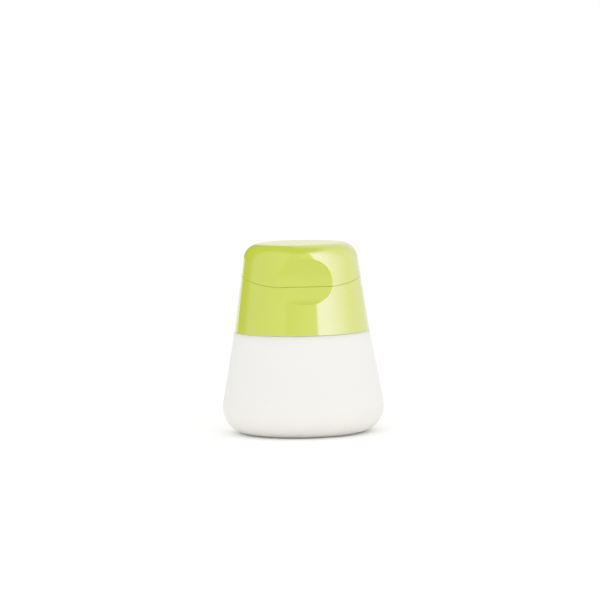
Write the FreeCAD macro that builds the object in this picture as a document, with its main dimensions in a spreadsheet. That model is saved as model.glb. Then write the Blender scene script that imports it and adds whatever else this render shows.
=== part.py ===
import FreeCAD, Part

import math
import os

import Sketcher

# Dressing bottle: a soft squeeze bottle with a screw cap and a hinged flip lid.
# Millimetres and degrees. Z is up, the bottle stands on z = 0 and its front faces -Y.

doc = FreeCAD.newDocument("dressing_bottle")

# Driving dimensions
sizes = {
    "shoulder_height": 33.2,
    "shoulder_radius": 22.1,
    "side_lean": 10.1,
    "belly_round": 8.8,
    "bottle_wall": 2.0,
    "bottle_floor": 2.4,
    "foot_recess_radius": 13.5,
    "foot_recess_depth": 0.7,
    "foot_recess_slope": 1.2,
    "shoulder_round": 0.12,
    "throat_round": 1.2,
    "neck_radius": 14.0,
    "neck_wall": 2.0,
    "neck_round": 0.5,
    "thread_pitch": 4.2,
    "thread_depth": 1.1,
    "thread_root": 2.0,
    "thread_crest": 1.0,
    "thread_sink": 0.3,
    "thread_clearance": 0.35,
    "thread_rim_margin": 0.6,
    "ring_wall": 1.2,
    "ring_length": 9.0,
    "ring_flange": 0.9,
    "ring_flange_inset": 0.4,
    "ring_clearance": 0.05,
    "ring_lead_in": 0.5,
    "gasket_thickness": 1.5,
    "gasket_clearance": 0.2,
    "gasket_round": 0.4,
    "cap_gap": 0.04,
    "cap_radius": 22.15,
    "cap_height": 18.76,
    "cap_lean": 8.2,
    "cap_wall": 1.8,
    "cap_edge_round": 0.12,
    "deck_thickness": 1.8,
    "seam_tilt": 10.5,
    "seam_gap": 0.04,
    "seam_round": 0.12,
    "socket_wall": 1.4,
    "socket_rise": 0.6,
    "seat_wall": 1.6,
    "seat_depth": 0.4,
    "stiffener_width": 1.0,
    "stiffener_rise": 2.5,
    "collar_height": 1.6,
    "collar_wall": 1.2,
    "lid_height": 10.0,
    "lid_wall": 1.7,
    "lid_roof": 1.8,
    "lid_round": 5.6,
    "lid_clearance": 0.3,
    "scoop_radius": 13.9,
    "scoop_depth": 2.2,
    "scoop_rise": 2.25,
    "scoop_round": 0.5,
    "spout_wall": 1.2,
    "spout_flare": 0.8,
    "spout_lip": 1.4,
    "spout_round": 0.5,
    "mouth_radius": 3.0,
    "valve_radius": 4.3,
    "valve_clearance": 0.1,
    "valve_flange": 1.2,
    "valve_wall": 0.7,
    "valve_membrane": 0.6,
    "valve_head_drop": 0.2,
    "valve_dish": 0.5,
    "valve_round": 0.3,
    "slit_length": 3.0,
    "slit_width": 0.2,
    "retainer_height": 2.2,
    "retainer_bore": 2.8,
    "retainer_clearance": 0.02,
    "retainer_round": 0.3,
    "stopper_radius": 4.8,
    "stopper_disc": 1.0,
    "stopper_gap": 0.2,
    "stopper_nub_radius": 2.4,
    "stopper_nub": 0.5,
    "stopper_stem": 2.2,
    "stopper_round": 0.3,
    "holder_height": 2.0,
    "holder_wall": 1.3,
    "holder_clearance": 0.05,
    "hinge_offset": 1.0,
    "knuckle_radius": 1.7,
    "knuckle_width": 6.0,
    "ear_width": 4.2,
    "hinge_gap": 0.3,
    "bracket_drop": 6.0,
    "bracket_rise": 4.0,
    "heel_reach": 2.5,
    "heel_rise": 1.2,
    "pin_radius": 0.75,
    "pin_press_clearance": 0.02,
    "pin_running_clearance": 0.08,
    "pin_recess": 0.3,
    "pin_chamfer": 0.15,
    "overrun": 2.0,
}
stiffener_count = 8

sheet = doc.addObject("Spreadsheet::Sheet", "sizes")
for row, (alias, number) in enumerate(sizes.items(), start=1):
    sheet.set(f"A{row}", alias)
    sheet.set(f"B{row}", str(number))
    sheet.setAlias(f"B{row}", alias)
doc.recompute()


# A size knows its number and the cell expression that gives it, so one sum serves both.
class Size:
    def __init__(self, number, expression):
        self.number = number
        self.expression = expression

    def joined(self, other, sign, number):
        return Size(number, f"({self.expression} {sign} {as_size(other).expression})")

    def __add__(self, other):
        return self.joined(other, "+", self.number + as_size(other).number)

    def __sub__(self, other):
        return self.joined(other, "-", self.number - as_size(other).number)

    def __mul__(self, other):
        return self.joined(other, "*", self.number * as_size(other).number)

    def __truediv__(self, other):
        return self.joined(other, "/", self.number / as_size(other).number)

    def __neg__(self):
        return Size(-self.number, f"(0 - {self.expression})")


def as_size(value):
    return value if isinstance(value, Size) else Size(value, str(value))


def tan(angle):
    return Size(math.tan(math.radians(angle.number)), f"tan({angle.expression})")


def cos(angle):
    return Size(math.cos(math.radians(angle.number)), f"cos({angle.expression})")


def sin(angle):
    return Size(math.sin(math.radians(angle.number)), f"sin({angle.expression})")


class Sizes:
    pass


s = Sizes()
for alias in sizes:
    setattr(s, alias, Size(float(sheet.get(alias)), f"sizes.{alias}"))
zero = as_size(0)

# Heights up the axis
shoulder = s.shoulder_height
cap_bottom = shoulder + s.cap_gap
seam = cap_bottom + s.cap_height
top = seam + s.lid_height
ceiling = top - s.lid_roof
spout_top = ceiling - s.holder_height - s.stopper_disc - s.stopper_gap
lip_under = spout_top - s.spout_lip
flange_under = lip_under - s.valve_flange

# Radii of the neck, its thread and the socket that screws over it
neck_bore = s.neck_radius - s.neck_wall
ring_bore = neck_bore - s.ring_clearance - s.ring_wall
socket_radius = s.neck_radius + s.thread_depth + s.thread_clearance
socket_outside = socket_radius + s.socket_wall
gasket_radius = socket_radius - s.gasket_clearance

# The seat is as high as the slanting deck leaves room for at its front
seat = seam - socket_radius * tan(s.seam_tilt) - s.deck_thickness - s.seat_depth
gasket_bottom = seat - s.gasket_thickness
neck_top = gasket_bottom - s.ring_flange

# The cap's ridge runs under the neck's ridge all the way, so both climb from one height to another
ridge_spacing = (s.thread_root + s.thread_crest) / 2 + s.thread_clearance
socket_bottom = cap_bottom + s.socket_rise
ridge_start = socket_bottom + s.thread_root / 2 + s.thread_clearance + ridge_spacing
ridge_end = neck_top - s.thread_rim_margin - s.thread_root / 2
thread_turns = (ridge_end - ridge_start) / s.thread_pitch

reach = s.cap_radius + s.overrun


def cap_radius_at(height):
    return s.cap_radius - (height - cap_bottom) * tan(s.cap_lean)


def cap_inside_at(height, wall):
    return cap_radius_at(height) - wall / cos(s.cap_lean)


def bottle_inside_at(height):
    outside = s.shoulder_radius + (shoulder - height) * tan(s.side_lean)
    return outside - s.bottle_wall / cos(s.side_lean)


# Front and back of the slanting seam, where its plane meets the cap's cone
seam_slope_share = tan(s.seam_tilt) * tan(s.cap_lean)
seam_front_radius = cap_radius_at(seam) / (as_size(1) - seam_slope_share)
seam_front = seam - seam_front_radius * tan(s.seam_tilt)
seam_back_radius = cap_radius_at(seam) / (as_size(1) + seam_slope_share)

# The hinge axis lies in the seam, just behind the cap's wall
hinge_y = seam_back_radius + s.hinge_offset
hinge_z = seam + hinge_y * tan(s.seam_tilt) + s.seam_gap / 2
ear_inside = s.knuckle_width / 2 + s.hinge_gap
ear_outside = ear_inside + s.ear_width


# Building blocks
def bind(thing, **bound):
    for name, size in bound.items():
        thing.setExpression(name, as_size(size).expression)
    return thing


def place(thing, x=zero, y=zero, z=zero, axis=None, angle=0):
    if axis:
        thing.Placement = FreeCAD.Placement(FreeCAD.Vector(), FreeCAD.Rotation(axis, angle))
    for name, size in zip("xyz", (x, y, z)):
        thing.setExpression(f"Placement.Base.{name}", size.expression)
    return thing


def draw_outline(sketch, points):
    corners = [FreeCAD.Vector(p[0].number, p[1].number, 0) for p in points]
    count = len(corners)
    for i in range(count):
        sketch.addGeometry(Part.LineSegment(corners[i], corners[(i + 1) % count]))
    for i in range(count):
        sketch.addConstraint(Sketcher.Constraint("Coincident", i, 2, (i + 1) % count, 1))
    for i, point in enumerate(points):
        for kind, size in zip(("DistanceX", "DistanceY"), point):
            index = sketch.addConstraint(Sketcher.Constraint(kind, -1, 1, i, 1, size.number))
            sketch.setExpression(f"Constraints[{index}]", size.expression)
    return sketch


def body_sketch(body, name, points):
    plane = next(f for f in body.Origin.OriginFeatures if f.Role == "XZ_Plane")
    sketch = body.newObject("Sketcher::SketchObject", name)
    sketch.AttachmentSupport = (plane, [""])
    sketch.MapMode = "FlatFace"
    return draw_outline(sketch, points)


# A body turned about Z from (radius, height) points, where a third value rounds the edge that they trace
def turned(name, points):
    body = doc.addObject("PartDesign::Body", name)
    sketch = body_sketch(body, f"{name}_outline", points)
    feature = body.newObject("PartDesign::Revolution", f"{name}_turn")
    feature.Profile = sketch
    feature.ReferenceAxis = (sketch, ["V_Axis"])
    doc.recompute()
    for number, (radius, height, rounding) in enumerate(p for p in points if len(p) > 2):
        edge = circle_edge(feature.Shape, radius.number, height.number)
        fillet = body.newObject("PartDesign::Fillet", f"{name}_round_{number}")
        fillet.Base = (feature, [edge])
        feature = bind(fillet, Radius=rounding)
        doc.recompute()
    return body


def circle_edge(shape, radius, height):
    def miss(edge):
        if not isinstance(edge.Curve, Part.Circle):
            return math.inf
        return abs(edge.Curve.Radius - radius) + abs(edge.Curve.Center.z - height)

    number = min(range(len(shape.Edges)), key=lambda i: miss(shape.Edges[i]))
    return f"Edge{number + 1}"


# A thread ridge on a turned body: its root is sunk into the wall and its crest stands off it
def add_ridge(body, root, crest, middle):
    half_root = s.thread_root / 2
    half_crest = s.thread_crest / 2
    points = [
        (root, middle - half_root),
        (crest, middle - half_crest),
        (crest, middle + half_crest),
        (root, middle + half_root),
    ]
    sketch = body_sketch(body, f"{body.Name}_ridge_outline", points)
    ridge = body.newObject("PartDesign::AdditiveHelix", f"{body.Name}_ridge")
    ridge.Profile = sketch
    ridge.ReferenceAxis = (sketch, ["V_Axis"])
    ridge.Mode = "pitch-turns-angle"
    bind(ridge, Pitch=s.thread_pitch, Turns=thread_turns)
    doc.recompute()


def across(name, radius, start, end, y, z):
    rod = doc.addObject("Part::Cylinder", name)
    bind(rod, Radius=radius, Height=end - start)
    return place(rod, x=start, y=y, z=z, axis=FreeCAD.Vector(0, 1, 0), angle=90)


def block(name, low, high):
    box = doc.addObject("Part::Box", name)
    bind(box, Length=high[0] - low[0], Width=high[1] - low[1], Height=high[2] - low[2])
    return place(box, *low)


# A side outline of (y, z) points, drawn out along X
def drawn_out(name, points, start, end):
    sketch = doc.addObject("Sketcher::SketchObject", f"{name}_outline")
    sketch.Placement = FreeCAD.Placement(FreeCAD.Vector(), FreeCAD.Rotation(90, 0, 90))
    place(draw_outline(sketch, points), x=start)
    bar = doc.addObject("Part::Extrusion", name)
    bar.Base = sketch
    bar.DirMode = "Normal"
    bar.Solid = True
    return bind(bar, LengthFwd=end - start)


# The slice between two planes parallel to the seam, given by their heights over it
def slanted(name, low, high):
    rise = reach * tan(s.seam_tilt)
    points = [
        (-reach, seam + low - rise),
        (reach, seam + low + rise),
        (reach, seam + high + rise),
        (-reach, seam + high - rise),
    ]
    return drawn_out(name, points, -reach, reach)


def joined(name, things):
    union = doc.addObject("Part::MultiFuse", name)
    union.Shapes = things
    union.Refine = True
    return union


def without(name, base, tool, refined=True):
    rest = doc.addObject("Part::Cut", name)
    rest.Base = base
    rest.Tool = tool
    rest.Refine = refined
    return rest


def shared(name, base, tool):
    both = doc.addObject("Part::Common", name)
    both.Base = base
    both.Tool = tool
    both.Refine = True
    return both


# Rounds each edge by the first rounding whose test picks it, all in one go so that they meet at corners
def softened(name, base, roundings):
    doc.recompute()
    edges = []
    for number, edge in enumerate(base.Shape.Edges, start=1):
        radius = next((rounding.number for rounding, picked in roundings if picked(edge)), 0)
        if radius:
            edges.append((number, radius, radius))
    fillet = doc.addObject("Part::Fillet", name)
    fillet.Base = base
    fillet.Edges = edges
    doc.recompute()
    return fillet


# Bottle: one section for belly, shoulder, neck and the hollow inside, then the thread on the neck
foot_radius = s.shoulder_radius + shoulder * tan(s.side_lean)
shoulder_under = shoulder - s.bottle_wall
bottle_body = turned("bottle_body", [
    (zero, s.foot_recess_depth),
    (s.foot_recess_radius - s.foot_recess_slope, s.foot_recess_depth),
    (s.foot_recess_radius, zero),
    (foot_radius, zero, s.belly_round),
    (s.shoulder_radius, shoulder, s.shoulder_round),
    (s.neck_radius, shoulder, s.neck_round),
    (s.neck_radius, neck_top, s.neck_round),
    (neck_bore, neck_top),
    (neck_bore, shoulder_under, s.throat_round),
    (bottle_inside_at(shoulder_under), shoulder_under, s.throat_round),
    (bottle_inside_at(s.bottle_floor), s.bottle_floor, s.belly_round - s.bottle_wall),
    (zero, s.bottle_floor),
])
add_ridge(bottle_body, s.neck_radius - s.thread_sink, s.neck_radius + s.thread_depth, ridge_start)

# Neck ring: a sleeve inside the soft neck with a flange over its rim
sleeve_radius = neck_bore - s.ring_clearance
sleeve_bottom = neck_top - s.ring_length
flange_radius = s.neck_radius - s.ring_flange_inset
neck_ring = turned("neck_ring", [
    (ring_bore, sleeve_bottom),
    (sleeve_radius - s.ring_lead_in, sleeve_bottom),
    (sleeve_radius, sleeve_bottom + s.ring_lead_in),
    (sleeve_radius, neck_top),
    (flange_radius, neck_top),
    (flange_radius, gasket_bottom),
    (ring_bore, gasket_bottom),
])

# Neck gasket: lies on the flange and is held in the cap above its ridge
neck_gasket = turned("neck_gasket", [
    (ring_bore + s.gasket_clearance, gasket_bottom),
    (gasket_radius, gasket_bottom, s.gasket_round),
    (gasket_radius, seat, s.gasket_round),
    (ring_bore + s.gasket_clearance, seat),
])

# Blank of cap and lid together, the slices that part them, and the thumb hollow across the seam
cap_blank = turned("cap_blank", [
    (zero, cap_bottom),
    (s.cap_radius, cap_bottom, s.cap_edge_round),
    (cap_radius_at(top), top, s.lid_round),
    (zero, top),
])
cap_slice = slanted("cap_slice", -seam, zero)
deck_slice = slanted("deck_slice", -seam, -s.deck_thickness)
collar_slice = slanted("collar_slice", -s.deck_thickness / 2, s.collar_height)
lid_slice = slanted("lid_slice", s.seam_gap, seam)

scoop_z = seam_front + s.scoop_rise
scoop_stand = s.scoop_radius - s.scoop_depth
scoop_centre_y = -(cap_radius_at(scoop_z) + scoop_stand * cos(s.cap_lean))
scoop_centre_z = scoop_z + scoop_stand * sin(s.cap_lean)


def scoop_rod(name, radius):
    return across(name, radius, -reach, reach, scoop_centre_y, scoop_centre_z)


scoop = scoop_rod("scoop", s.scoop_radius)


def along(edge, height_miss):
    return all(abs(height_miss(p)) < s.seam_round.number / 100 for p in edge.discretize(5))


def on_seam(lift):
    slope = math.tan(math.radians(s.seam_tilt.number))
    plane = seam.number + lift.number
    return lambda edge: along(edge, lambda p: p.z - plane - p.y * slope)


def on_scoop(edge):
    centre = FreeCAD.Vector(0, scoop_centre_y.number, scoop_centre_z.number)
    return along(edge, lambda p: math.hypot(p.y - centre.y, p.z - centre.z) - s.scoop_radius.number)


# Cap or lid in the solid: its slice of the blank less the thumb hollow, with softened edges
def cap_form(name, piece_slice, lift):
    cut = without(f"{name}_cut", shared(f"{name}_slice", cap_blank, piece_slice), scoop)
    return softened(name, cut, [(s.seam_round, on_seam(lift)), (s.scoop_round, on_scoop)])


# The inside of the cap's outline at an inset, behind the thumb hollow too
def inside_form(name, inset):
    core = turned(f"{name}_core", [
        (zero, cap_bottom),
        (cap_inside_at(cap_bottom, inset), cap_bottom),
        (cap_inside_at(top, inset), top),
        (zero, top),
    ])
    return without(name, core, scoop_rod(f"{name}_scoop", s.scoop_radius + inset))


# A hinge bracket runs from inside the wall to the knuckle and its heel, down the cap or up the lid
def bracket(name, start, end, heel, rise, piece_slice):
    wall_y = seam_back_radius - s.cap_wall
    points = [
        (wall_y - s.cap_wall, hinge_z),
        (hinge_y + s.knuckle_radius, hinge_z),
        (hinge_y + heel[0], hinge_z + heel[1]),
        (wall_y, hinge_z + rise),
        (wall_y - s.cap_wall, hinge_z + rise),
    ]
    return shared(f"{name}_foot", drawn_out(name, points, start, end), piece_slice)


# Cap base: skirt under a slanting deck
skirt_floor = cap_bottom - s.overrun
skirt_core = turned("skirt_core", [
    (zero, skirt_floor),
    (cap_inside_at(skirt_floor, s.cap_wall), skirt_floor),
    (cap_inside_at(top, s.cap_wall), top),
    (zero, top),
])
skirt_room = without("skirt_room", shared("skirt_core_low", skirt_core, deck_slice),
                     scoop_rod("skirt_scoop", s.scoop_radius + s.cap_wall))
ears = []
ear_heel = (s.knuckle_radius, -s.knuckle_radius / 2)
for side, start, end in (("left", -ear_outside, -ear_inside), ("right", ear_inside, ear_outside)):
    ears.append(across(f"ear_{side}", s.knuckle_radius, start, end, hinge_y, hinge_z))
    ears.append(bracket(f"ear_bracket_{side}", start, end, ear_heel, -s.bracket_drop, cap_slice))
cap_outside = cap_form("cap_outside", cap_slice, zero)
skirt = without("skirt", joined("cap_with_ears", [cap_outside] + ears), skirt_room)

# Socket, still filled, and stiffeners, which end in the middle of the walls
socket = turned("socket", [
    (zero, socket_bottom),
    (socket_outside, socket_bottom),
    (socket_outside, top),
    (zero, top),
])
stiffeners = []
for i in range(stiffener_count):
    stiffener = doc.addObject("Part::Box", f"stiffener_{i}")
    bind(stiffener, Length=reach - socket_radius - s.socket_wall / 2, Width=s.stiffener_width,
         Height=s.cap_height)
    turn = as_size(360) / stiffener_count * (i + 0.5)
    bind(stiffener, **{"Placement.Rotation.Angle": turn})
    out = socket_radius + s.socket_wall / 2
    half = s.stiffener_width / 2
    place(stiffener, x=cos(turn) * out + sin(turn) * half, y=sin(turn) * out - cos(turn) * half,
          z=cap_bottom + s.stiffener_rise)
    stiffeners.append(stiffener)
wall_middle = shared("wall_middle", inside_form("skirt_middle", s.cap_wall / 2),
                     slanted("deck_middle", -seam, -s.deck_thickness / 2))
inside = shared("cap_inside", joined("cap_inside_parts", [socket] + stiffeners), wall_middle)

# Collar that the lid closes round, and the spout in the middle of the deck
collar_fit = s.lid_wall + s.lid_clearance
collar_ring = without("collar_ring", inside_form("collar_outside", collar_fit),
                      inside_form("collar_inside", collar_fit + s.collar_wall))
collar = shared("collar", collar_ring, collar_slice)

spout_bore = s.valve_radius + s.valve_clearance
spout_radius = spout_bore + s.spout_wall
spout_root_radius = spout_radius + s.spout_flare
spout_bottom = seam - spout_root_radius * tan(s.seam_tilt) - s.deck_thickness
spout = turned("spout", [
    (zero, spout_bottom),
    (spout_root_radius, spout_bottom),
    (spout_root_radius, seam),
    (spout_radius, spout_top, s.spout_round),
    (zero, spout_top),
])
spout_hollow = turned("spout_hollow", [
    (zero, spout_bottom - s.overrun),
    (spout_bore, spout_bottom - s.overrun),
    (spout_bore, lip_under),
    (s.mouth_radius, lip_under),
    (s.mouth_radius, spout_top + s.overrun),
    (zero, spout_top + s.overrun),
])

# Room in the socket for the neck and its gasket, round the seat's rib, the spout's root and the ridge,
# whose faces stay as they are cut, because merging them can twist the helix's
socket_bore = turned("socket_bore", [
    (zero, skirt_floor),
    (socket_radius, skirt_floor),
    (socket_radius, top),
    (zero, top),
])
seat_middle = (gasket_radius + ring_bore) / 2
seat_rib = turned("seat_rib", [
    (seat_middle - s.seat_wall / 2, seat),
    (seat_middle + s.seat_wall / 2, seat),
    (seat_middle + s.seat_wall / 2, top),
    (seat_middle - s.seat_wall / 2, top),
])
socket_ridge = doc.addObject("PartDesign::Body", "socket_ridge")
add_ridge(socket_ridge, socket_radius + s.thread_sink, socket_radius - s.thread_depth,
          ridge_start - ridge_spacing)
socket_room = without("socket_room", shared("socket_bore_low", socket_bore, deck_slice),
                      joined("socket_fittings", [seat_rib, spout, socket_ridge]), refined=False)

# The pin's press hole through the ears, and room between them for the lid's knuckle
pin_hole = across("pin_hole", s.pin_radius + s.pin_press_clearance, -reach, reach, hinge_y, hinge_z)
knuckle_room = across("knuckle_room", s.knuckle_radius + s.hinge_gap, -ear_inside, ear_inside,
                      hinge_y, hinge_z)

cap_solid = joined("cap_solid", [skirt, inside, collar, spout])
cap_base = without("cap_base", cap_solid,
                   joined("cap_cuts", [socket_room, spout_hollow, knuckle_room, pin_hole]),
                   refined=False)

# Flip lid: shell, holder for the stopper, knuckle and room for the ears
lid_core = turned("lid_core", [
    (zero, cap_bottom),
    (cap_inside_at(cap_bottom, s.lid_wall), cap_bottom),
    (cap_inside_at(ceiling, s.lid_wall), ceiling, s.lid_round - s.lid_wall),
    (zero, ceiling),
])
lid_room = without("lid_room", lid_core, scoop_rod("lid_scoop", s.scoop_radius + s.lid_wall))
half_knuckle = s.knuckle_width / 2
knuckle = across("knuckle", s.knuckle_radius, -half_knuckle, half_knuckle, hinge_y, hinge_z)
knuckle_bracket = bracket("knuckle_bracket", -half_knuckle, half_knuckle, (s.heel_reach, s.heel_rise),
                          s.bracket_rise, lid_slice)
lid_outside = cap_form("lid_outside", lid_slice, s.seam_gap)
lid_shell = without("lid_shell", joined("lid_with_knuckle", [lid_outside, knuckle, knuckle_bracket]),
                    lid_room)

holder_bore = s.stopper_stem + s.holder_clearance
holder_bottom = ceiling - s.holder_height
holder = turned("holder", [
    (holder_bore, holder_bottom),
    (holder_bore + s.holder_wall, holder_bottom),
    (holder_bore + s.holder_wall, ceiling + s.lid_roof / 2),
    (holder_bore, ceiling + s.lid_roof / 2),
])
ear_rooms = [
    across("ear_room_left", s.knuckle_radius + s.hinge_gap, -(ear_outside + s.hinge_gap), -half_knuckle,
           hinge_y, hinge_z),
    across("ear_room_right", s.knuckle_radius + s.hinge_gap, half_knuckle, ear_outside + s.hinge_gap,
           hinge_y, hinge_z),
]
pin_run = across("pin_run", s.pin_radius + s.pin_running_clearance, -reach, reach, hinge_y, hinge_z)
lid_solid = joined("lid_solid", [lid_shell, holder])
flip_lid = without("flip_lid", lid_solid, joined("lid_cuts", [pin_run] + ear_rooms))

# Lid stopper: a stem in the holder, a disc over the spout's lip and a nub in its mouth
disc_bottom = spout_top + s.stopper_gap
disc_top = disc_bottom + s.stopper_disc
nub_bottom = disc_bottom - s.stopper_nub
lid_stopper = turned("lid_stopper", [
    (zero, nub_bottom),
    (s.stopper_nub_radius, nub_bottom, s.stopper_round),
    (s.stopper_nub_radius, disc_bottom),
    (s.stopper_radius, disc_bottom, s.stopper_round),
    (s.stopper_radius, disc_top, s.stopper_round),
    (s.stopper_stem, disc_top),
    (s.stopper_stem, ceiling),
    (zero, ceiling),
])

# Dispensing valve: a flange under the spout's lip and a dished head with a cross slit, below the nub
head_radius = s.mouth_radius - s.valve_clearance
head_top = nub_bottom - s.valve_head_drop
hollow_radius = head_radius - s.valve_wall
valve_blank = turned("valve_blank", [
    (zero, head_top - s.valve_dish - s.valve_membrane),
    (hollow_radius, head_top - s.valve_membrane),
    (hollow_radius, flange_under),
    (s.valve_radius, flange_under),
    (s.valve_radius, lip_under),
    (head_radius, lip_under),
    (head_radius, head_top, s.valve_round),
    (zero, head_top - s.valve_dish),
])
half_slit = s.slit_length / 2
half_width = s.slit_width / 2
slits = joined("slits", [
    block("slit_across", (-half_slit, -half_width, flange_under), (half_slit, half_width, spout_top)),
    block("slit_along", (-half_width, -half_slit, flange_under), (half_width, half_slit, spout_top)),
])
dispensing_valve = without("dispensing_valve", valve_blank, slits)

# Valve retainer: a ring pressed into the spout under the valve
retainer_radius = spout_bore - s.retainer_clearance
retainer_bottom = flange_under - s.retainer_height
valve_retainer = turned("valve_retainer", [
    (s.retainer_bore, retainer_bottom, s.retainer_round),
    (retainer_radius, retainer_bottom, s.retainer_round),
    (retainer_radius, flange_under),
    (s.retainer_bore, flange_under),
])

# Hinge pin, turned upright and laid across
pin_length = (ear_outside - s.pin_recess) * 2
hinge_pin = turned("hinge_pin", [
    (zero, zero),
    (s.pin_radius - s.pin_chamfer, zero),
    (s.pin_radius, s.pin_chamfer),
    (s.pin_radius, pin_length - s.pin_chamfer),
    (s.pin_radius - s.pin_chamfer, pin_length),
    (zero, pin_length),
])
place(hinge_pin, x=-pin_length / 2, y=hinge_y, z=hinge_z, axis=FreeCAD.Vector(0, 1, 0), angle=90)

doc.recompute()

# Check every object, then write one file for each piece
for thing in doc.Objects:
    if "Invalid" in thing.State or "Error" in thing.State:
        raise RuntimeError(f"{thing.Label}: {thing.State}")

os.makedirs("parts", exist_ok=True)
pieces = [bottle_body, neck_ring, neck_gasket, cap_base, flip_lid, lid_stopper, dispensing_valve,
          valve_retainer, hinge_pin]
for piece in pieces:
    shape = piece.Shape
    if shape.isNull() or not shape.isValid() or len(shape.Solids) != 1:
        raise RuntimeError(f"{piece.Label}: not one valid solid")
    shape.exportStep(f"parts/{piece.Label}.step")
    print(f"{piece.Label}: {shape.Volume:.1f} cubic mm")
print(f"thread turns {thread_turns.number:.3f}, seam front {seam_front.number:.2f}, "
      f"hinge {hinge_y.number:.3f} {hinge_z.number:.3f}")
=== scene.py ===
import math

import bmesh
import bpy
from mathutils import Matrix, Vector


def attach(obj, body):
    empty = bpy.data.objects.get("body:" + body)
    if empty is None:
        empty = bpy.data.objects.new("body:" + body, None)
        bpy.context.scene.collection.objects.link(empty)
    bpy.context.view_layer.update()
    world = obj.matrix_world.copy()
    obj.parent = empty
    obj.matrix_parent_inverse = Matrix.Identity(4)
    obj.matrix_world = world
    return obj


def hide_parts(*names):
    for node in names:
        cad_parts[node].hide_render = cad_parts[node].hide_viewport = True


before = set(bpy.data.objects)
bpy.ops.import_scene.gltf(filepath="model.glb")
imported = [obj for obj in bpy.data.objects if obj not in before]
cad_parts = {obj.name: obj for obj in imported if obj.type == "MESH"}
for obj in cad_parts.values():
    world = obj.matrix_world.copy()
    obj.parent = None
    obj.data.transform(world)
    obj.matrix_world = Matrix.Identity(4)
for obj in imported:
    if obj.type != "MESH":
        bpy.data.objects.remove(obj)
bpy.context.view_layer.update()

mm = 0.001
weld = 0.001 * mm
fullTurn = 2 * math.pi
sharpAngle = math.radians(40)
scene = bpy.context.scene
scene.view_settings.view_transform = "Standard"
print("frame loaded,", len(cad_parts), "nodes")


class Wire:  # a socket that takes part in sums, and the one way to add a node
    def __init__(self, tree, socket=None):
        self.tree = tree
        self.socket = socket

    def node(self, kind, settings=None, inputs=None, output=0):
        made = self.tree.nodes.new(kind)
        for name, value in (settings or {}).items():
            if name == "stops":  # a ramp's stops, (place, colour) each
                ramp = made.color_ramp.elements
                for stop, (place, colour) in zip((ramp[0], ramp[1]), (value[0], value[-1])):
                    stop.position = place
                    stop.color = (*colour, 1)
                for place, colour in value[1:-1]:
                    ramp.new(place).color = (*colour, 1)
            else:
                setattr(made, name, value)
        for name, value in (inputs or {}).items():
            if isinstance(value, Wire):
                self.tree.links.new(value.socket, made.inputs[name])
            else:
                made.inputs[name].default_value = value
        return Wire(self.tree, made.outputs[output]) if made.outputs else made

    def maths(self, operation, first, second):
        return self.node("ShaderNodeMath", {"operation": operation}, {0: first, 1: second})

    def __add__(self, other):
        return self.maths("ADD", self, other)

    def __radd__(self, other):
        return self.maths("ADD", other, self)

    def __sub__(self, other):
        return self.maths("SUBTRACT", self, other)

    def __rsub__(self, other):
        return self.maths("SUBTRACT", other, self)

    def __mul__(self, other):
        return self.maths("MULTIPLY", self, other)

    def __rmul__(self, other):
        return self.maths("MULTIPLY", other, self)

    def __truediv__(self, other):
        return self.maths("DIVIDE", self, other)

    def __rtruediv__(self, other):
        return self.maths("DIVIDE", other, self)


def newMaterial(name):
    material = bpy.data.materials.new(name)
    material.use_nodes = True
    material.node_tree.nodes.clear()
    return material, Wire(material.node_tree)


def objectPlace(wire):
    return wire.node("ShaderNodeTexCoord", None, None, "Object")


noiseMiddle = 0.5


def noise(wire, place, scale, detail):  # smooth grain round zero, about -0.5 to 0.5
    grain = wire.node("ShaderNodeTexNoise", None, {"Vector": place, "Scale": scale, "Detail": detail})
    return grain - noiseMiddle


def mixed(wire, share, first, second):  # two colours by a share
    ends = [end if isinstance(end, Wire) else (*end, 1) for end in (first, second)]
    return wire.node("ShaderNodeMix", {"data_type": "RGBA"}, {0: share, 6: ends[0], 7: ends[1]}, 2)


def shades(wire, grain, look):  # a look's two colours, mixed by a grain
    return mixed(wire, grain + noiseMiddle, look["deep"], look["colour"])


def bump(wire, height, distance):
    return wire.node("ShaderNodeBump", None, {"Height": height, "Distance": distance})


def surface(wire, **inputs):  # one Principled surface as the material's end
    named = {name.replace("_", " "): value for name, value in inputs.items()}
    shader = wire.node("ShaderNodeBsdfPrincipled", None, named)
    wire.node("ShaderNodeOutputMaterial", None, {"Surface": shader})


# lime plastic of the cap and lid; a noise is given by its scale and detail
lime = {
    "colour": (0.575, 0.645, 0.068),
    "deep": (0.55, 0.62, 0.055),
    "cloud": (60, 2),
    "grain": (700, 4),
    "grainDepth": 0.003 * mm,
    "rough": 0.14,
    "smudge": 0.06,
    "coat": 0.9,
    "coatRough": 0.05,
    "scatter": 0.12,
    "scatterTint": (1.0, 1.0, 0.25),
    "scatterDepth": 0.8 * mm,
}


def limePlastic():
    material, wire = newMaterial("limePlastic")
    place = objectPlace(wire)
    cloud = noise(wire, place, *lime["cloud"])
    grain = noise(wire, place, *lime["grain"])
    surface(wire,
            Base_Color=shades(wire, cloud, lime),
            Roughness=lime["rough"] + lime["smudge"] * grain,
            Coat_Weight=lime["coat"] + lime["smudge"] * cloud,
            Coat_Roughness=lime["coatRough"],
            Subsurface_Weight=lime["scatter"],
            Subsurface_Radius=lime["scatterTint"],
            Subsurface_Scale=lime["scatterDepth"],
            Normal=bump(wire, grain, lime["grainDepth"]))
    return material


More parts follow.
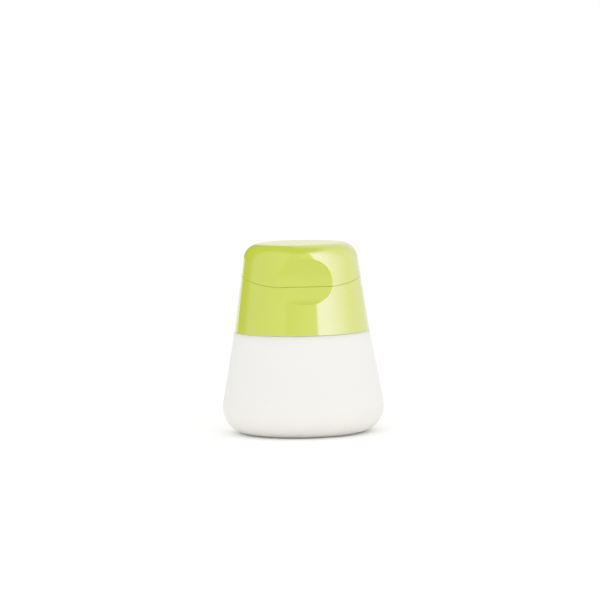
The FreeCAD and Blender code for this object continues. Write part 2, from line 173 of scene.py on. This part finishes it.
# milky silicone of the bottle: warmer at the foot, foot and belly lightened as painted light against the
# shade near the floor, and painted lime bounce light on the shoulder beside the cap
milk = {
    # foot and belly: a warm cream tone, made lighter as painted light to offset the floor's shade
    "footWarmAndPaintedLight": (0.905, 0.875, 0.818),
    "belly": (0.866, 0.85, 0.81),
    "colour": (0.855, 0.845, 0.815),
    # shoulder: painted lime bounce light from the cap, a yellow-green tint on the white silicone
    "shoulder": (0.842, 0.842, 0.76),
    "bellyHeight": 8.5 * mm,
    "colourFrom": 16.5 * mm,
    "colourTo": 29.8 * mm,
    "shoulderHeight": 32.7 * mm,
    "neckFrom": 33.15 * mm,
    "top": 44.5 * mm,
    "wander": 0.9 * mm,
    "cloud": (55, 2),
    "grain": (2400, 3),
    "grainDepth": 0.008 * mm,
    "rough": 0.48,
    "smudge": 0.08,
    "gloss": 0.12,
    "index": 1.41,
    "scatter": 0.6,
    "scatterTint": (1.0, 0.95, 0.85),
    "scatterDepth": 3 * mm,
}


def milkySilicone():
    material, wire = newMaterial("milkySilicone")
    place = objectPlace(wire)
    height = wire.node("ShaderNodeSeparateXYZ", None, {0: place}, "Z")
    cloud = noise(wire, place, *milk["cloud"])
    grain = noise(wire, place, *milk["grain"])
    levels = [
        (0, milk["footWarmAndPaintedLight"]),
        (milk["bellyHeight"], milk["belly"]),
        (milk["colourFrom"], milk["colour"]),
        (milk["colourTo"], milk["colour"]),
        (milk["shoulderHeight"], milk["shoulder"]),
        (milk["neckFrom"], milk["colour"]),
    ]
    tone = wire.node("ShaderNodeValToRGB",
                     {"stops": [(level / milk["top"], colour) for level, colour in levels]},
                     {0: (height + milk["wander"] * cloud) / milk["top"]})
    surface(wire,
            Base_Color=tone,
            Roughness=milk["rough"] + milk["smudge"] * cloud,
            Subsurface_Weight=milk["scatter"],
            Subsurface_Radius=milk["scatterTint"],
            Subsurface_Scale=milk["scatterDepth"],
            IOR=milk["index"],
            Specular_IOR_Level=milk["gloss"],
            Normal=bump(wire, grain, milk["grainDepth"]))
    return material


# clear-white silicone of the gasket, valve and stopper
seal = {
    "colour": (0.84, 0.84, 0.82),
    "deep": (0.76, 0.76, 0.74),
    "cloud": (180, 3),
    "grain": (3000, 3),
    "grainDepth": 0.006 * mm,
    "rough": 0.36,
    "smudge": 0.1,
    "index": 1.41,
    "scatter": 0.5,
    "scatterTint": (1.0, 0.95, 0.85),
    "scatterDepth": 1 * mm,
}


def sealSilicone():
    material, wire = newMaterial("sealSilicone")
    place = objectPlace(wire)
    cloud = noise(wire, place, *seal["cloud"])
    grain = noise(wire, place, *seal["grain"])
    surface(wire,
            Base_Color=shades(wire, cloud, seal),
            Roughness=seal["rough"] + seal["smudge"] * cloud,
            Subsurface_Weight=seal["scatter"],
            Subsurface_Radius=seal["scatterTint"],
            Subsurface_Scale=seal["scatterDepth"],
            IOR=seal["index"],
            Normal=bump(wire, grain, seal["grainDepth"]))
    return material


# moulded white plastic of the neck ring and the valve's retainer
white = {
    "colour": (0.83, 0.83, 0.82),
    "deep": (0.78, 0.78, 0.76),
    "cloud": (150, 3),
    "grain": (2200, 4),
    "grainDepth": 0.012 * mm,
    "rough": 0.42,
    "smudge": 0.14,
}


def whitePlastic():
    material, wire = newMaterial("whitePlastic")
    place = objectPlace(wire)
    cloud = noise(wire, place, *white["cloud"])
    grain = noise(wire, place, *white["grain"])
    surface(wire,
            Base_Color=shades(wire, cloud, white),
            Roughness=white["rough"] + white["smudge"] * grain,
            Normal=bump(wire, grain, white["grainDepth"]))
    return material


# drawn steel of the hinge pin, with its lines along the pin
steel = {
    "colour": (0.66, 0.66, 0.67),
    "deep": (0.52, 0.53, 0.55),
    "stretch": (40, 9000, 9000),
    "grain": (1, 4),
    "grainDepth": 0.004 * mm,
    "rough": 0.26,
    "smudge": 0.12,
}


def pinSteel():
    material, wire = newMaterial("pinSteel")
    along = wire.node("ShaderNodeMapping", None, {0: objectPlace(wire), "Scale": steel["stretch"]})
    grain = noise(wire, along, *steel["grain"])
    surface(wire,
            Base_Color=shades(wire, grain, steel),
            Metallic=1.0,
            Roughness=steel["rough"] + steel["smudge"] * grain,
            Normal=bump(wire, grain, steel["grainDepth"]))
    return material


finishes = {
    "lime_plastic": limePlastic(),
    "milky_silicone": milkySilicone(),
    "seal_silicone": sealSilicone(),
    "white_plastic": whitePlastic(),
    "pin_steel": pinSteel(),
}
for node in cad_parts.values():
    for slot in node.material_slots:
        slot.material = finishes[slot.material.name]
print("finishes made:", len(finishes))


def sectionOutline(points):  # (radius, height) in mm, and a corner's rounding as (length, segments)
    mesh = bmesh.new()
    corners = [mesh.verts.new((point[0] * mm, 0, point[1] * mm)) for point in points]
    mesh.faces.new(corners)
    for corner, point in zip(corners, points):
        if len(point) > 2:
            length, segments = point[2]
            bmesh.ops.bevel(mesh, geom=[corner], offset=length * mm, offset_type="OFFSET",
                            affect="VERTICES", segments=segments, profile=0.5, material=-1)
    bmesh.ops.delete(mesh, geom=list(mesh.faces), context="FACES_ONLY")
    onAxis = [e for e in mesh.edges if all(abs(v.co.x) < weld for v in e.verts)]
    bmesh.ops.delete(mesh, geom=onAxis, context="EDGES")
    return mesh


def turned(points, steps):  # a section spun round the bottle's axis
    mesh = sectionOutline(points)
    bmesh.ops.spin(mesh, geom=list(mesh.verts) + list(mesh.edges), cent=(0, 0, 0), axis=(0, 0, 1),
                   dvec=(0, 0, 0), angle=fullTurn, steps=steps, use_merge=True, use_duplicate=False)
    bmesh.ops.remove_doubles(mesh, verts=list(mesh.verts), dist=weld)
    bmesh.ops.recalc_face_normals(mesh, faces=list(mesh.faces))
    return mesh


def newObject(name, mesh, *materials):
    data = bpy.data.meshes.new(name)
    mesh.to_mesh(data)
    mesh.free()
    for material in materials:
        data.materials.append(material)
    made = bpy.data.objects.new(name, data)
    scene.collection.objects.link(made)
    return made


def united(*meshes):  # closed meshes as one skin
    parts = [newObject("part", mesh) for mesh in meshes]
    for other in parts[1:]:
        union = parts[0].modifiers.new("union", "BOOLEAN")
        union.operation = "UNION"
        union.solver = "EXACT"
        union.object = other
    skin = bmesh.new()
    skin.from_object(parts[0], bpy.context.evaluated_depsgraph_get())
    for part in parts:
        bpy.data.meshes.remove(part.data)
    return skin


def finished(name, mesh, finish, body, node):  # a smooth piece in the place of a node
    piece = newObject(name, mesh, finishes[finish])
    piece.data.shade_smooth()
    piece.data.set_sharp_from_angle(angle=sharpAngle)
    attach(piece, body)
    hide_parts(node)


# squeeze bottle, in mm
bottle = {
    "shoulderHeight": 33.2,
    "shoulderRadius": 22.1,
    "footRadius": 28.014,
    "recessRadius": 13.5,
    "recessSlope": 1.2,
    "recessDepth": 0.7,
    "neckRadius": 14.0,
    "neckBore": 12.0,
    "neckTop": 44.537,
    "wall": 2.0,
    "floor": 2.4,
    "recessRound": (0.4, 4),
    "footRound": (10.65, 28),
    "shoulderRound": (0.06, 3),
    "neckRound": (0.5, 5),
    "rimRound": (0.2, 3),
    "throatRound": (1.2, 6),
    "insideRound": (8.1, 14),
    "steps": 192,
}


def bottleMesh():
    b = bottle
    lean = (b["footRadius"] - b["shoulderRadius"]) / b["shoulderHeight"]
    side = b["wall"] * math.hypot(1, lean)
    under = b["shoulderHeight"] - b["wall"]
    inside = b["shoulderRadius"] + lean * b["wall"] - side
    insideFoot = b["shoulderRadius"] + lean * (b["shoulderHeight"] - b["floor"]) - side
    return turned([
        (0, b["recessDepth"]),
        (b["recessRadius"] - b["recessSlope"], b["recessDepth"], b["recessRound"]),
        (b["recessRadius"], 0, b["recessRound"]),
        (b["footRadius"], 0, b["footRound"]),
        (b["shoulderRadius"], b["shoulderHeight"], b["shoulderRound"]),
        (b["neckRadius"], b["shoulderHeight"], b["neckRound"]),
        (b["neckRadius"], b["neckTop"], b["neckRound"]),
        (b["neckBore"], b["neckTop"], b["rimRound"]),
        (b["neckBore"], under, b["throatRound"]),
        (inside, under, b["throatRound"]),
        (insideFoot, b["floor"], b["insideRound"]),
        (0, b["floor"]),
    ], b["steps"])


# thread's ridge round the neck, in mm, which sinks into it at both ends
ridge = {
    "start": 37.04,
    "pitch": 4.2,
    "turns": 1.404,
    "runOut": 0.07,  # in turns
    "depth": 1.1,
    "sink": 0.3,
    "root": 2.0,
    "crest": 1.0,
    "steps": 134,
}


def ridgeMesh():
    r = ridge
    neck = bottle["neckRadius"]
    root, crest = neck - r["sink"], neck + r["depth"]
    outline = [(root, -r["root"] / 2), (crest, -r["crest"] / 2),
               (crest, r["crest"] / 2), (root, r["root"] / 2)]
    mesh = bmesh.new()
    corners = [mesh.verts.new((radius * mm, 0, (r["start"] + z) * mm)) for radius, z in outline]
    for first, second in zip(corners, corners[1:] + corners[:1]):
        mesh.edges.new((first, second))
    bmesh.ops.spin(mesh, geom=list(mesh.verts) + list(mesh.edges), cent=(0, 0, 0), axis=(0, 0, 1),
                   dvec=(0, 0, r["pitch"] * r["turns"] / r["steps"] * mm), angle=fullTurn * r["turns"],
                   steps=r["steps"], use_merge=False, use_duplicate=False)
    bmesh.ops.holes_fill(mesh, edges=[e for e in mesh.edges if e.is_boundary], sides=len(outline))
    for vert in mesh.verts:
        turn = math.atan2(vert.co.y, vert.co.x) / fullTurn % 1
        if vert.co.z / mm - r["start"] - turn * r["pitch"] > r["pitch"] / 2:
            turn += 1
        left = max(0, min(turn, r["turns"] - turn)) / r["runOut"]
        radius = math.hypot(vert.co.x, vert.co.y)
        if left < 1 and radius > neck * mm:
            share = (root * mm + (radius - root * mm) * left) / radius
            vert.co.x *= share
            vert.co.y *= share
    bmesh.ops.recalc_face_normals(mesh, faces=list(mesh.faces))
    return mesh


finished("squeezeBottle", united(bottleMesh(), ridgeMesh()), "milky_silicone", "bottle", "bottle_body")
print("bottle made")

# seal between the neck and the cap, in mm
gasket = {
    "bore": 10.95,
    "radius": 15.25,
    "under": 45.437,
    "top": 46.937,
    "boreRound": (0.2, 3),
    "rimRound": (0.4, 5),
    "steps": 160,
}
finished("neckSeal", turned([
    (gasket["bore"], gasket["under"], gasket["boreRound"]),
    (gasket["radius"], gasket["under"], gasket["rimRound"]),
    (gasket["radius"], gasket["top"], gasket["rimRound"]),
    (gasket["bore"], gasket["top"], gasket["boreRound"]),
], gasket["steps"]), "seal_silicone", "gasket", "neck_gasket")

# valve in the spout, in mm: a flange, and a dished head with a cross slit
valve = {
    "flangeUnder": 54.4,
    "lipUnder": 55.6,
    "headTop": 56.5,
    "flangeRadius": 4.3,
    "headRadius": 2.9,
    "hollowRadius": 2.2,
    "dish": 0.5,
    "membrane": 0.6,
    "slitLength": 3.0,
    "slitWidth": 0.2,
    "headRound": (0.3, 5),
    "hollowRound": (0.15, 3),
    "flangeRound": (0.15, 3),
    "cornerRound": (0.1, 3),
    "steps": 64,
}


def valveMesh():
    v = valve
    mesh = turned([
        (0, v["headTop"] - v["dish"] - v["membrane"]),
        (v["hollowRadius"], v["headTop"] - v["membrane"], v["hollowRound"]),
        (v["hollowRadius"], v["flangeUnder"], v["cornerRound"]),
        (v["flangeRadius"], v["flangeUnder"], v["flangeRound"]),
        (v["flangeRadius"], v["lipUnder"], v["flangeRound"]),
        (v["headRadius"], v["lipUnder"], v["cornerRound"]),
        (v["headRadius"], v["headTop"], v["headRound"]),
        (0, v["headTop"] - v["dish"]),
    ], v["steps"])
    halfLength, halfWidth = v["slitLength"] / 2 * mm, v["slitWidth"] / 2 * mm
    for direction in (Vector((1, 0, 0)), Vector((0, 1, 0))):
        for offset in (-halfLength, -halfWidth, halfWidth, halfLength):
            bmesh.ops.bisect_plane(mesh, geom=list(mesh.verts) + list(mesh.edges) + list(mesh.faces),
                                   dist=weld, plane_co=direction * offset, plane_no=direction)
    cross = []
    for face in mesh.faces:
        middle = face.calc_center_median()
        near, far = sorted((abs(middle.x), abs(middle.y)))
        if near < halfWidth and far < halfLength:
            cross.append(face)
    bmesh.ops.delete(mesh, geom=cross, context="FACES")
    bmesh.ops.bridge_loops(mesh, edges=[e for e in mesh.edges if e.is_boundary])
    bmesh.ops.recalc_face_normals(mesh, faces=list(mesh.faces))
    return mesh


finished("slitValve", valveMesh(), "seal_silicone", "cap", "dispensing_valve")

# stopper under the lid, in mm
stopper = {
    "nubUnder": 56.7,
    "discUnder": 57.2,
    "discTop": 58.2,
    "top": 60.2,
    "nubRadius": 2.4,
    "discRadius": 4.8,
    "stemRadius": 2.2,
    "edgeRound": (0.3, 5),
    "nubRound": (0.15, 3),
    "stemRound": (0.1, 3),
    "steps": 96,
}
finished("spoutStopper", turned([
    (0, stopper["nubUnder"]),
    (stopper["nubRadius"], stopper["nubUnder"], stopper["edgeRound"]),
    (stopper["nubRadius"], stopper["discUnder"], stopper["nubRound"]),
    (stopper["discRadius"], stopper["discUnder"], stopper["edgeRound"]),
    (stopper["discRadius"], stopper["discTop"], stopper["edgeRound"]),
    (stopper["stemRadius"], stopper["discTop"], stopper["stemRound"]),
    (stopper["stemRadius"], stopper["top"]),
    (0, stopper["top"]),
], stopper["steps"]), "seal_silicone", "lid", "lid_stopper")
print("seals, valve and stopper made")


def rays(wire, *kinds):  # one for the kinds of ray named, zero for the rest
    paths = [wire.node("ShaderNodeLightPath", None, None, kind) for kind in kinds]
    return sum(paths[1:], paths[0])


# pale floor, white to the camera and to reflections, with the shadow kept
pale = {
    "colour": (0.95, 0.95, 0.945),
    "deep": (0.93, 0.93, 0.925),
    "speck": (30, 2),
    "rough": 0.9,
    "lift": (0.09, 0.09, 0.09),
    "unlifted": (0, 0, 0),
    "reach": 40.0,
    "drop": 0.02 * mm,
}


def paleFloor():
    material, wire = newMaterial("paleFloor")
    speck = noise(wire, objectPlace(wire), *pale["speck"])
    seen = rays(wire, "Is Camera Ray", "Is Glossy Ray", "Is Transmission Ray")
    surface(wire,
            Base_Color=shades(wire, speck, pale),
            Roughness=pale["rough"],
            Specular_IOR_Level=0.0,
            Emission_Color=mixed(wire, seen, pale["unlifted"], pale["lift"]),
            Emission_Strength=1.0)
    mesh = bmesh.new()
    bmesh.ops.create_grid(mesh, x_segments=1, y_segments=1, size=pale["reach"],
                          matrix=Matrix.Translation((0, 0, -pale["drop"])))
    return newObject("paleFloor", mesh, material)


paleFloor()

# room: even light all round, and the tones that gloss mirrors, by degrees round from the front
room = {
    "light": (1.0, 1.0, 1.0),
    "backdrop": (1.0, 1.0, 1.0),
    "overhead": (0.28, 0.28, 0.28),
    "overheadFrom": 0.84,
    "overheadTo": 0.98,
    "front": 0.5,  # the front's place on the ramp, of which both ends are behind
    "brightest": 6.9,
    "tones": [
        (-180, (0.86, 0.86, 0.69)),
        (-177, (0.45, 0.5, 0.2)),
        (-150, (0.46, 0.52, 0.1)),
        (-124, (0.46, 0.52, 0.1)),
        (-112, (0.9, 0.9, 0.9)),
        (-34, (1.4, 1.4, 1.4)),
        (-31, (0.9, 0.9, 0.9)),
        (18, (1.4, 1.4, 1.4)),
        (22.5, (1.6, 1.6, 1.6)),
        (25, (4.4, 3.7, 6.9)),
        (44, (4.3, 3.6, 6.7)),
        (66, (3.2, 2.75, 4.5)),
        (95, (1.9, 1.65, 2.1)),
        (140, (1.0, 0.95, 1.05)),
        (180, (0.86, 0.86, 0.69)),
    ],
}


def studioWorld():
    world = bpy.data.worlds.new("studio")
    world.use_nodes = True
    world.node_tree.nodes.clear()
    wire = Wire(world.node_tree)
    toward = wire.node("ShaderNodeTexCoord", None, None, "Generated")
    x, y, z = [wire.node("ShaderNodeSeparateXYZ", None, {0: toward}, axis) for axis in "XYZ"]
    stops = []
    for degrees, tone in room["tones"]:
        stops.append((math.radians(degrees) / fullTurn + room["front"],
                      [part / room["brightest"] for part in tone]))
    heading = wire.maths("ARCTAN2", x, 0 - y) / fullTurn + room["front"]
    ring = wire.node("ShaderNodeValToRGB", {"stops": stops}, {0: heading})
    ring = wire.node("ShaderNodeVectorMath", {"operation": "SCALE"}, {0: ring, "Scale": room["brightest"]})
    over = wire.node("ShaderNodeMapRange", {"interpolation_type": "SMOOTHSTEP"},
                     {0: z, 1: room["overheadFrom"], 2: room["overheadTo"]})
    mirrored = mixed(wire, over, ring, room["overhead"])
    tone = mixed(wire, rays(wire, "Is Glossy Ray"), room["light"], mirrored)
    tone = mixed(wire, rays(wire, "Is Camera Ray", "Is Transmission Ray"), tone, room["backdrop"])
    background = wire.node("ShaderNodeBackground", None, {"Color": tone, "Strength": 1.0})
    wire.node("ShaderNodeOutputWorld", None, {"Surface": background})
    return world


scene.world = studioWorld()


def around(azimuth, elevation):  # direction by degrees round from the front and up
    turn, lift = math.radians(azimuth), math.radians(elevation)
    return Vector((math.sin(turn) * math.cos(lift), -math.cos(turn) * math.cos(lift), math.sin(lift)))


# one large soft lamp in front
key = {
    "azimuth": 5,
    "elevation": 13,
    "distance": 1.5,
    "width": 1.4,
    "height": 1.0,
    "radiance": 0.75,
    "aim": (0, 0, 0.03),
}
outward = around(key["azimuth"], key["elevation"])
light = bpy.data.lights.new("keyLamp", "AREA")
light.shape = "RECTANGLE"
light.size = key["width"]
light.size_y = key["height"]
light.energy = key["radiance"] * math.pi * key["width"] * key["height"]
lamp = bpy.data.objects.new("keyLamp", light)
lamp.matrix_world = Matrix.Translation(Vector(key["aim"]) + outward * key["distance"]) @ \
    outward.to_track_quat("Z", "Y").to_matrix().to_4x4()
lamp.visible_camera = False
lamp.visible_glossy = False
scene.collection.objects.link(lamp)

# camera at the photograph's angle and framing
view = {
    "azimuth": -4.0,
    "distance": 1.2,
    "height": 0.140,
    "aim": (-0.00046, 0.0, 0.0432),
    "roll": -1.1,
    "pixel": 0.3263 * mm,
    "pixels": 600,
    "clip": 0.05,
}
stand = around(view["azimuth"], 0) * view["distance"] + Vector((0, 0, view["height"]))
sight = Vector(view["aim"]) - stand
lens = bpy.data.cameras.new("photoView")
lens.lens = lens.sensor_width * sight.length / (view["pixels"] * view["pixel"])
lens.clip_start = view["clip"]
shot = bpy.data.objects.new("photoView", lens)
shot.matrix_world = Matrix.Translation(stand) @ sight.to_track_quat("-Z", "Y").to_matrix().to_4x4() @ \
    Matrix.Rotation(math.radians(view["roll"]), 4, "Z")
scene.collection.objects.link(shot)
scene.camera = shot
print("floor, light and camera set")
